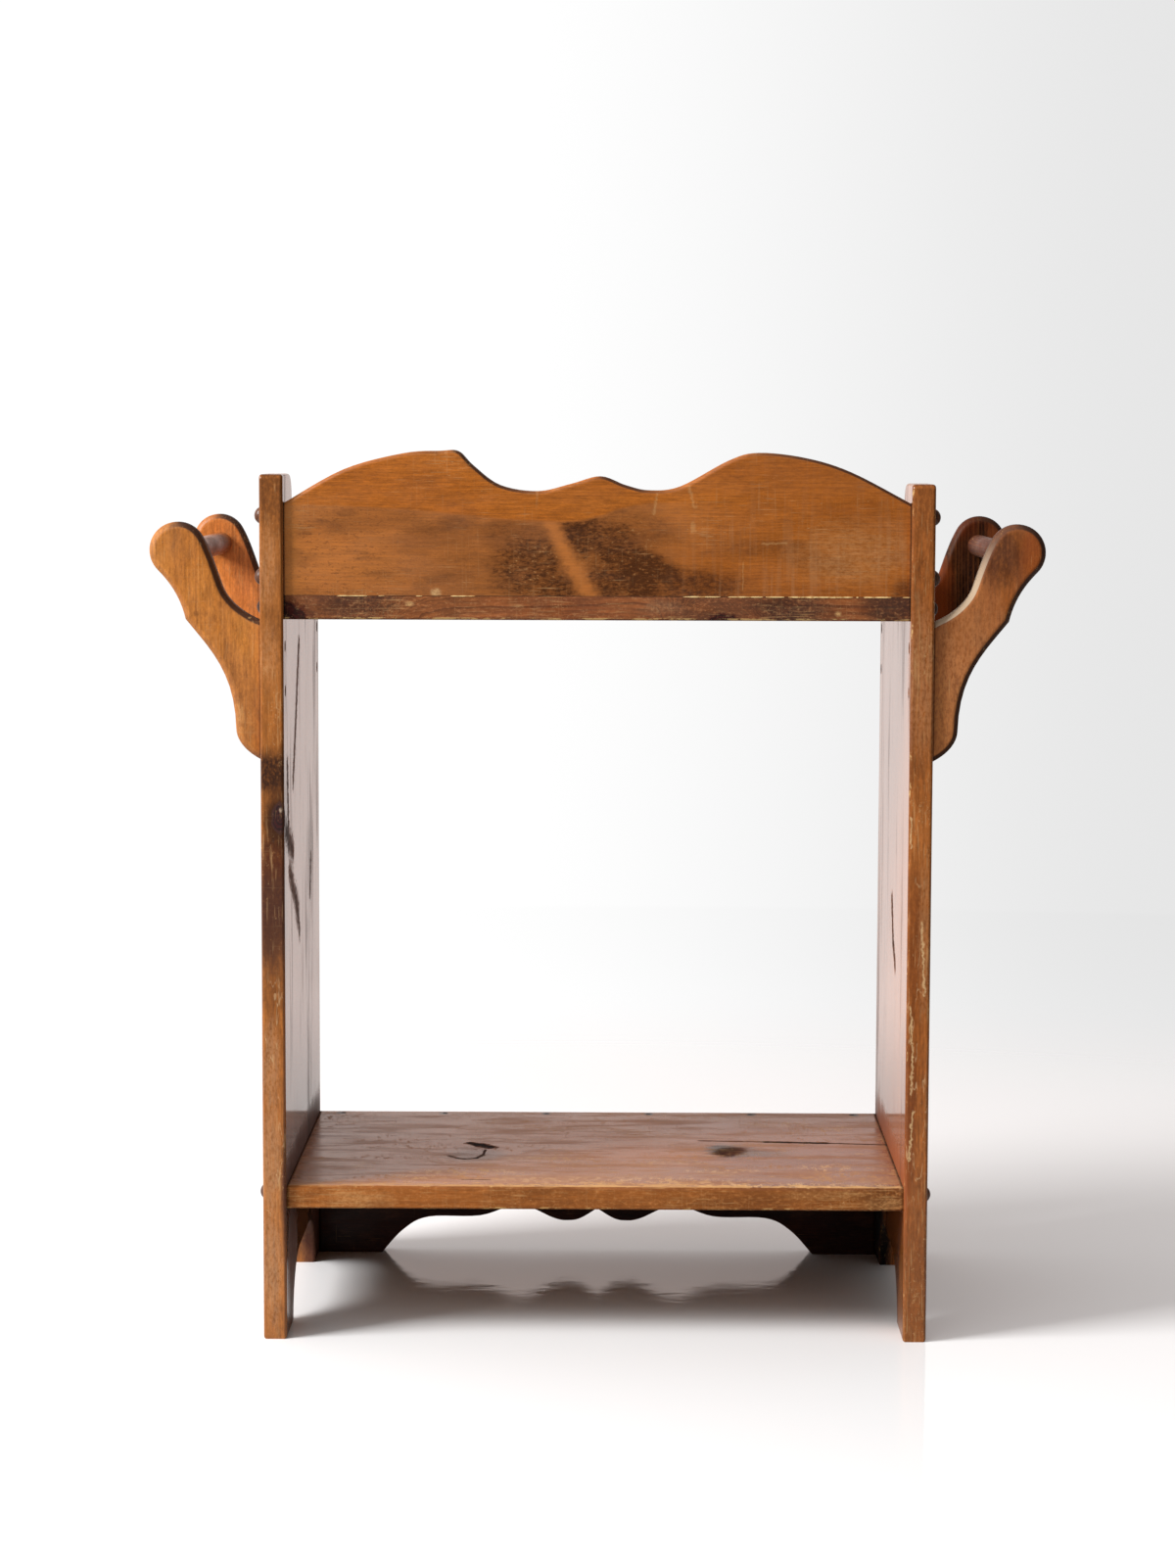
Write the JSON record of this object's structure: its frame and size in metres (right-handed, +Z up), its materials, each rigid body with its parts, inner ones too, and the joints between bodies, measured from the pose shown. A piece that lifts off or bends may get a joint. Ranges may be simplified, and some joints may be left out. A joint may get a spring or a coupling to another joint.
{
  "type": "washstand",
  "caption": "Pine washstand: side panels with arched feet and raised ears joined by shelves, a shaped splash board and apron, and a towel bar on scrolled brackets at each side.",
  "frame": {"origin": "on the floor, under the middle of the stand", "axes": "+Z up, +X to the right as seen from the splash board's side, -Y towards the splash board's side, +Y towards the apron's side"},
  "size_m": [0.7184, 0.33, 0.7227],
  "materials": {
    "stained_pine": "satin varnish over honey-brown stain",
    "dark_pine": "satin varnish over dark brown stain",
    "bar_pine": "glossy varnish, turned dowel",
    "plug_wood": "satin varnish, turned button",
    "screw_steel": "dull zinc",
    "nail_steel": "dark, slightly rusted"
  },
  "bodies": {
    "carcass": {"left_side_panel": "stained_pine", "right_side_panel": "stained_pine", "top_shelf": "stained_pine", "bottom_shelf": "stained_pine", "splash_board": "stained_pine", "apron": "dark_pine", "left_back_bracket": "stained_pine", "left_front_bracket": "stained_pine", "right_back_bracket": "stained_pine", "right_front_bracket": "stained_pine", "left_splash_screws": "screw_steel", "right_splash_screws": "screw_steel", "left_top_shelf_screws": "screw_steel", "right_top_shelf_screws": "screw_steel", "left_bottom_shelf_screws": "screw_steel", "right_bottom_shelf_screws": "screw_steel", "left_splash_plugs": "plug_wood", "right_splash_plugs": "plug_wood", "left_top_shelf_plugs": "plug_wood", "right_top_shelf_plugs": "plug_wood", "left_bottom_shelf_plugs": "plug_wood", "right_bottom_shelf_plugs": "plug_wood", "left_back_bracket_screws": "screw_steel", "left_front_bracket_screws": "screw_steel", "right_back_bracket_screws": "screw_steel", "right_front_bracket_screws": "screw_steel", "apron_nails": "nail_steel"},
    "left_bar": {"left_towel_bar": "bar_pine"},
    "right_bar": {"right_towel_bar": "bar_pine"}
  },
  "joints": [
    {"name": "left_bar_turn", "type": "hinge", "parent": "carcass", "child": "left_bar", "pos_m": [-0.335, 0, 0.639], "axis": [0, 1, 0], "continuous": true},
    {"name": "right_bar_turn", "type": "hinge", "parent": "carcass", "child": "right_bar", "pos_m": [0.335, 0, 0.639], "axis": [0, 1, 0], "continuous": true}
  ]
}
